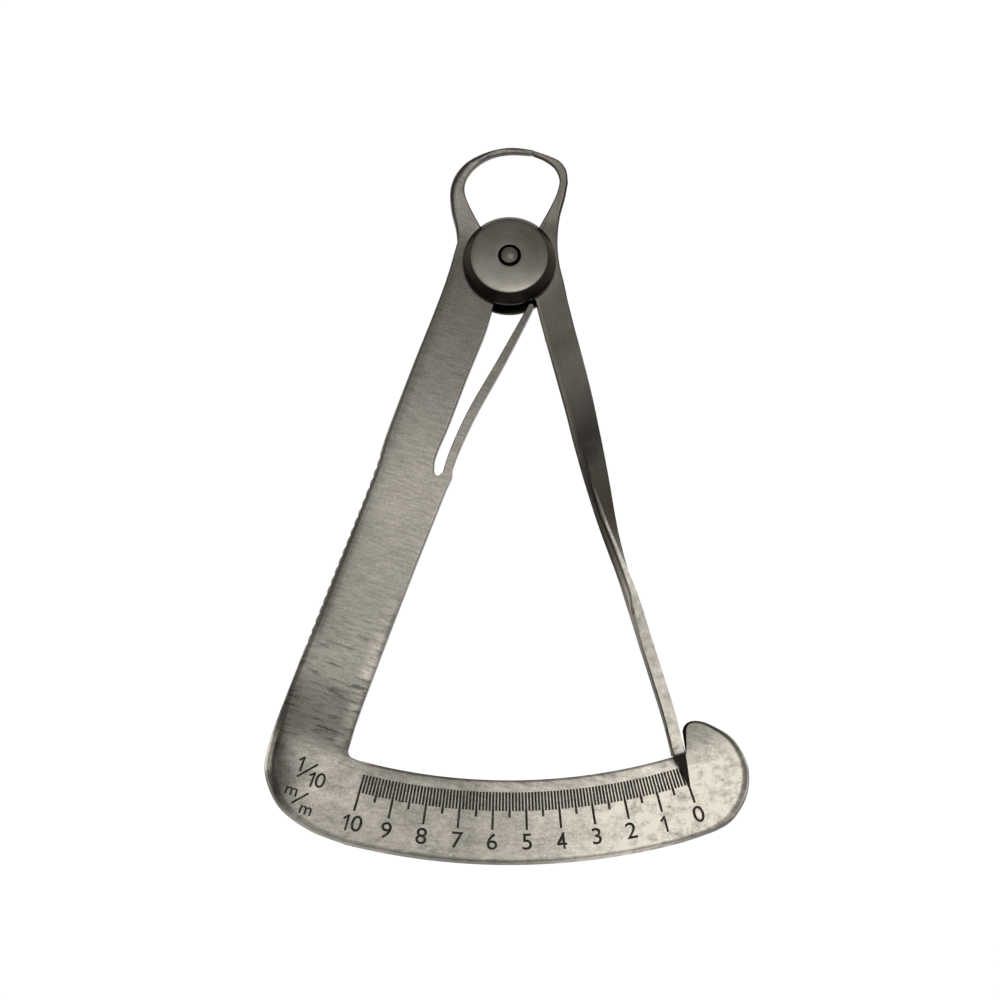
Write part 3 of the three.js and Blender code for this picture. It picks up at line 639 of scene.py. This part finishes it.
for letters, tall in [(UNIT_FIGURES, UNIT_HEIGHT), (UNIT_LETTERS, UNIT_LETTER_HEIGHT)]:
    for letter, across, up in letters:
        engravings.append(set_in(glyph(letter, tall), (across * MM, up * MM), UNIT_TURN))
for start, end in UNIT_SLASHES:
    engravings.append(set_in(stroke(Vector(start) * MM, Vector(end) * MM, STROKE), (0, 0), 0))

together = bmesh.new()
for mesh in engravings:
    together.from_mesh(mesh)
bmesh.ops.remove_doubles(together, verts=together.verts, dist=CUTTER_MERGE)
bmesh.ops.recalc_face_normals(together, faces=together.faces)
cutter_mesh = bpy.data.meshes.new("engraving")
together.to_mesh(cutter_mesh)
together.free()
cutter_mesh.materials.append(black_filling)
cutter_mesh.polygons.foreach_set("material_index", [0] * len(cutter_mesh.polygons))

# The metal that joins the spring tongue to the leg, in millimetres round the tongue's root
ROOT_OUTLINE = [
    (0.35, -1.06), (0.5, -0.71), (0.72, -0.21), (0.98, 0.3), (1.08, 0.8), (1.1, 1.15), (1.03, 1.45),
    (0.6, 1.3), (0.1, 1.1), (-0.3, 1.04), (-0.6, 0.89), (-0.85, 0.59), (-1.15, 0.47), (-1.4, 0.59),
    (-1.6, 0.89), (-1.85, 0.89), (-2.0, 0.09), (-1.4, -0.81), (-0.6, -1.31), (0.1, -1.21),
]
tongue_joint = next(joint for joint in frame["joints"] if joint["name"] == "tongue_flex")
tongue_root = Vector(tongue_joint["pos_m"])
root_corners = [(tongue_root.x + x * MM, tongue_root.y + y * MM) for x, y in ROOT_OUTLINE]
root_metal = prism(root_corners, plate_low.z, plate_high.z)
root_metal.materials.append(plate_steel)

plate = merged_copy("frame_plate", "engraved_plate", plate_steel)
plate = carved(plate, shown("root", root_metal), "UNION")
plate = smoothed(carved(plate, shown("engraving", cutter_mesh)))
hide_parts("frame_plate")
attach(plate, "frame")


tongue = merged_copy("spring_tongue", "spring_leaf", plate_steel)
tongue = smoothed(carved(tongue, shown("root", root_metal.copy())))
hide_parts("spring_tongue")
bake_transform(tongue)


# Swinging arm: the right jaw, its half of the hub, and a flat bar that is twisted a quarter turn into a
# strip on edge. Its upper edge is ground and painted brighter as lit, its flat part is filed slim, and its
# end is a pointer painted dark as shade.
STRIP_START = 36
STRIP_FADE = 8
POINTER_START = 82.4
POINTER_FADE = 0.4
ARM_LEFT = 1.95
ARM_RIGHT = 6.3
ARM_FLARE = 0.058
FILED_AWAY = [
    (3, 0, 0), (6, 0, -0.18), (12.4, 0.2, -0.32), (20, 0.12, -0.38), (25, 0.08, -0.38), (30, 0, -0.2),
    (37, 0, 0),
]

# Painted light and shade: how bright the flat part and the ground strip are painted, at stops of (millimetres
# from the pivot, share of white), and the jaw's one tone
ARM_TONES = [
    (2, 0.4), (6, 0.35), (9, 0.2), (13.5, 0.19), (19.5, 0.29), (26, 0.25), (32, 0.115), (39, 0.07),
    (45, 0.09), (50, 0.16), (54, 0.32), (58, 0.5), (63, 0.42), (69, 0.2), (75, 0.14), (88, 0.12),
]
STRIP_TONES = [(2, 0.3), (36, 0.3), (46, 0.4), (57, 0.5), (63, 0.48), (70, 0.57), (88, 0.52)]
JAW_TONE = 0.42

arm_steel = bpy.data.materials.new("drawn_arm")
drawn = bare_tree(arm_steel)
place, normal, x, y, z, radius = coordinates(drawn)
drawing = drawn.noise(drawn.vector(x * 2.2, y * 0.6, z), 1, 5, 0.65)
spots = drawn.noise(place, 900, 4, 0.65)
ground = normal.axis(2).step(0.88, 0.96) * radius.step(STRIP_START, STRIP_START + STRIP_FADE)
jaw = y.step(5, 8)
across_arm = x * math.cos(ZERO_ANGLE) + y * math.sin(ZERO_ANGLE)
# Painted highlight along the flat part's left edge, and painted shade along the strip's right side
left_edge = (across_arm - ARM_FLARE * y).step(2.75, 2.4) * radius.step(30, 22) * (1 - jaw)
right_edge = normal.axis(0).step(0.05, 0.35) * ground
arm_level = radius.curve(0, 90, ARM_TONES)
strip_level = radius.curve(0, 90, STRIP_TONES)
level = arm_level + ground * (strip_level - arm_level)
level = level + jaw * (JAW_TONE - level)
uneven = (drawing - 0.5) * 0.5 + (spots - 0.5) * (0.3 + 1.1 * ground)
level = level * (1 + uneven) * (1 + 0.5 * left_edge) * (1 - 0.25 * right_edge)
face_colour = level.mix(BLACK, STEEL_TINT)
lean = leaning(normal)
# Painted shade: the walls and the jaw's bevels take a dark colour
wall = lean.step(0.75, 0.97) * (1 - 0.5 * radius.step(44, 54) * radius.step(76, 66))
shaded = (wall + jaw * lean.step(0.15, 0.4)).mix(face_colour, linear(70, 65, 58))
# Painted shade: the pointer's sloped end is painted dark
pointer = radius.step(POINTER_START, POINTER_START + POINTER_FADE)
arm_colour = pointer.mix(shaded, linear(60, 55, 49))
metal(drawn, arm_colour, 0.34, drawing + spots * 0.5, 0.01 * MM, linear(185, 182, 177))


def filed(piece, stops):
    """Slims the arm at stops of (millimetres below the pivot, shift of its left side, shift of its right)."""
    for corner in piece.data.vertices:
        down = -corner.co.y / MM
        across = corner.co.x * math.cos(ZERO_ANGLE) + corner.co.y * math.sin(ZERO_ANGLE)
        from_left = (across / MM - ARM_LEFT + ARM_FLARE * down) / (ARM_RIGHT - ARM_LEFT)
        side = min(max(from_left, 0), 1)
        for (start, left_start, right_start), (end, left_end, right_end) in zip(stops, stops[1:]):
            if start <= down < end:
                share = (down - start) / (end - start)
                at_left = left_start + (left_end - left_start) * share
                at_right = right_start + (right_end - right_start) * share
                corner.co.x += (at_left + (at_right - at_left) * side) * MM
    return piece


arm = merged_copy("swing_arm", "ground_arm", arm_steel)
arm = smoothed(filed(arm, FILED_AWAY))
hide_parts("swing_arm")
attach(arm, "arm")


# Caps: two turned discs that hold the plates together on the rivet. The front one is slightly domed, its
# slanted side is painted dark as shade, and the rivet's head sits in a small recess in its middle that is
# painted black as shade. The rear one lies in the shade under the front cap and is painted dark and black.
BORE_RADIUS = 1.16
CAP_RADIUS = 6.95
CAP_RIM = 0.6
CAP_FACE_RADIUS = 5.85
CAP_CROWN = 0.2
RECESS_RADIUS = 1.72
RECESS_DEPTH = 0.5
RECESS_BLUR = 0.05
BACK_RADIUS = 7.4
BACK_CHAMFER = 0.35
TAIL_RADIUS = 1.76
TAIL_DEPTH = 0.6
OUTER_BREAK = 0.14
RIM_BREAK = 0.1
FACE_BREAK = 0.25
RECESS_BREAK = 0.06
BACK_BREAK = 0.08
TURNED_SIDES = 96
TURNED_SHARP_ANGLE = math.radians(40)
ROUNDING_STEPS = 4
CROWN_STEPS = 10
# Painted shade: the black of the cap's recess, the rivet below its head and the rear cap's shaded foot
SHADE_BLACK = linear(12, 10, 9)


def lathe(name, profile, material):
    """A turned piece from its profile, a closed row of (radius, height) in millimetres."""
    corners = []
    rows = []
    for radius, height in profile:
        turns = TURNED_SIDES if radius > 0 else 1
        rows.append([len(corners) + i % turns for i in range(TURNED_SIDES)])
        for i in range(turns):
            angle = 2 * math.pi * i / TURNED_SIDES
            corners.append((radius * math.cos(angle) * MM, radius * math.sin(angle) * MM, height * MM))
    faces = []
    for low, high in zip(rows, rows[1:] + rows[:1]):
        for i in range(TURNED_SIDES):
            after = (i + 1) % TURNED_SIDES
            face = list(dict.fromkeys([low[i], low[after], high[after], high[i]]))
            if len(face) > 2:
                faces.append(face)
    mesh = bpy.data.meshes.new(name)
    mesh.from_pydata(corners, [], faces)
    mesh.materials.append(material)
    mesh.polygons.foreach_set("use_smooth", [True] * len(mesh.polygons))
    mesh.set_sharp_from_angle(angle=TURNED_SHARP_ANGLE)
    return shown(name, mesh)


def rounded(before, corner, after, size):
    """The points that round a profile's corner, which starts that far before it and ends as far after it."""
    before, corner, after = Vector(before), Vector(corner), Vector(after)
    start = corner + (before - corner).normalized() * size
    end = corner + (after - corner).normalized() * size
    points = []
    for i in range(ROUNDING_STEPS + 1):
        share = i / ROUNDING_STEPS
        points.append(tuple(start.lerp(corner, share).lerp(corner.lerp(end, share), share)))
    return points


cap_low, cap_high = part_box("front_cap")
base = cap_low.z / MM
top = cap_high.z / MM
edge = top - CAP_CROWN
recess_floor = top - RECESS_DEPTH
back_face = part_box("rear_cap")[1].z / MM

cap_steel = bpy.data.materials.new("turned_cap")
turned = bare_tree(cap_steel)
place, normal, x, y, z, radius = coordinates(turned)
on_rear = z.step(base, back_face)
rings = turned.noise(turned.vector(radius * 5, x * 0.1, y * 0.1), 1, 4)
spots = turned.noise(place, 450, 5)
# Painted light and shade on the front cap's face: brighter towards the foot, with a painted highlight in a
# crescent on its lower rim, and darker on its right
towards_foot = (0 - y - x * 0.45) / 6
level = 0.235 + 0.17 * towards_foot.step(-0.5, 1) + 0.12 * towards_foot.step(0.3, 1) * radius.step(4, 5.6)
level = level - 0.045 * x.step(0, 4)
level = level * (1 + (rings - 0.5) * 0.3 + (spots - 0.5) * 0.6)
face_colour = level.mix(BLACK, STEEL_TINT)
# Painted shade: the slanted side, the recess and the rear cap take a dark colour, black in the recess and on
# the rear cap's side towards the foot
in_recess = radius.step(RECESS_RADIUS + RECESS_BLUR, RECESS_RADIUS - RECESS_BLUR)
dark = normal.axis(2).step(0.9, 0.7).maths("MAXIMUM", in_recess).maths("MAXIMUM", on_rear)
shaded_rear_foot = ((0 - y - x * 0.9) / 9).step(0.78, 0.92) * on_rear
black_shade = radius.step(2, 1.8).maths("MAXIMUM", shaded_rear_foot)
dark_colour = black_shade.mix(on_rear.mix(linear(38, 34, 30), linear(34, 30, 26)), SHADE_BLACK)
metal(turned, dark.mix(face_colour, dark_colour), 0.36, rings + spots, 0.01 * MM, linear(228, 223, 215))

crown = []
for i in range(1, CROWN_STEPS + 1):
    share = i / CROWN_STEPS
    reach = CAP_FACE_RADIUS + (RECESS_RADIUS - CAP_FACE_RADIUS) * share
    crown.append((reach, edge + CAP_CROWN * (2 - share) * share))
rim_foot = (CAP_RADIUS, base)
rim_top = (CAP_RADIUS, base + CAP_RIM)
face_edge = (CAP_FACE_RADIUS, edge)
domed = lathe("domed_cap", [
    (BORE_RADIUS, base),
    *rounded((BORE_RADIUS, base), rim_foot, rim_top, OUTER_BREAK),
    *rounded(rim_foot, rim_top, face_edge, RIM_BREAK),
    *rounded(rim_top, face_edge, crown[3], FACE_BREAK),
    *crown[:-1],
    *rounded(crown[-2], crown[-1], (RECESS_RADIUS, base), RECESS_BREAK),
    (RECESS_RADIUS, recess_floor),
    (BORE_RADIUS, recess_floor),
], cap_steel)
chamfer_low = (BACK_RADIUS - BACK_CHAMFER, 0)
chamfer_high = (BACK_RADIUS, BACK_CHAMFER)
back_rim = (BACK_RADIUS, back_face)
back = lathe("back_cap", [
    (TAIL_RADIUS, 0),
    *rounded((TAIL_RADIUS, 0), chamfer_low, chamfer_high, BACK_BREAK),
    *rounded(chamfer_low, chamfer_high, back_rim, BACK_BREAK),
    *rounded(chamfer_high, back_rim, (BORE_RADIUS, back_face), OUTER_BREAK),
    (BORE_RADIUS, back_face),
    (BORE_RADIUS, TAIL_DEPTH),
    (TAIL_RADIUS, TAIL_DEPTH),
], cap_steel)
for cap, node in [(domed, "front_cap"), (back, "rear_cap")]:
    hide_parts(node)
    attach(cap, "frame")


# Rivet: a soft steel pin through both plates. Its head is hammered round, with small flat marks, and its
# tail is closed flush in the rear cap.
PIN_RADIUS = 1.1
PIN_TAIL_RADIUS = 1.7
HEAD_RADIUS = 1.28
HEAD_FOOT = 6.2
HEAD_FADE = 0.25
DOME_STEPS = 8

rivet_steel = bpy.data.materials.new("hammered_rivet")
hammered = bare_tree(rivet_steel)
place = hammered.node("ShaderNodeTexCoord", output="Object")
marks = hammered.node("ShaderNodeTexVoronoi", inputs={"Vector": place, "Scale": 1400})
spots = hammered.noise(place, 900)
# Painted shade: the rivet is black below its head, down in the cap's recess
head = place.axis(2).step(HEAD_FOOT * MM, (HEAD_FOOT + HEAD_FADE) * MM)
level = (0.24 + (spots - 0.5) * 0.2) * head
metal(hammered, level.mix(SHADE_BLACK, STEEL_TINT), 0.44, marks + spots * 0.4, 0.03 * MM)

head_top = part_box("pivot_rivet")[1].z / MM
dome = []
for i in range(1, DOME_STEPS):
    angle = math.pi / 2 * i / DOME_STEPS
    dome.append((HEAD_RADIUS * math.cos(angle), top + (head_top - top) * math.sin(angle)))
rivet = lathe("riveted_pin", [
    (0, 0),
    *rounded((0, 0), (PIN_TAIL_RADIUS, 0), (PIN_TAIL_RADIUS, TAIL_DEPTH), BACK_BREAK),
    (PIN_TAIL_RADIUS, TAIL_DEPTH),
    (PIN_RADIUS, TAIL_DEPTH),
    (PIN_RADIUS, recess_floor),
    (HEAD_RADIUS, recess_floor),
    (HEAD_RADIUS, top),
    *dome,
    (0, head_top),
], rivet_steel)
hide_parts("pivot_rivet")
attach(rivet, "frame")


# Washers: two thin stamped rings of grey steel, held on the rivet. They keep the caps off the moving
# plates.
WASHER_BREAK = 0.05

washer_steel = bpy.data.materials.new("grey_washer")
washer_tree = bare_tree(washer_steel)
spots = washer_tree.noise(washer_tree.node("ShaderNodeTexCoord", output="Object"), 700)
level = 0.25 + (spots - 0.5) * 0.1
metal(washer_tree, level.mix(BLACK, linear(255, 246, 228)), 0.42, spots, 0.01 * MM)

for node, name in [("front_washer", "front_shim"), ("rear_washer", "rear_shim")]:
    washer_low, washer_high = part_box(node)
    outer = washer_high.x / MM
    low = washer_low.z / MM
    high = washer_high.z / MM
    washer = lathe(name, [
        (BORE_RADIUS, low),
        *rounded((BORE_RADIUS, low), (outer, low), (outer, high), WASHER_BREAK),
        *rounded((outer, low), (outer, high), (BORE_RADIUS, high), WASHER_BREAK),
        (BORE_RADIUS, high),
    ], washer_steel)
    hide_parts(node)
    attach(washer, "frame")
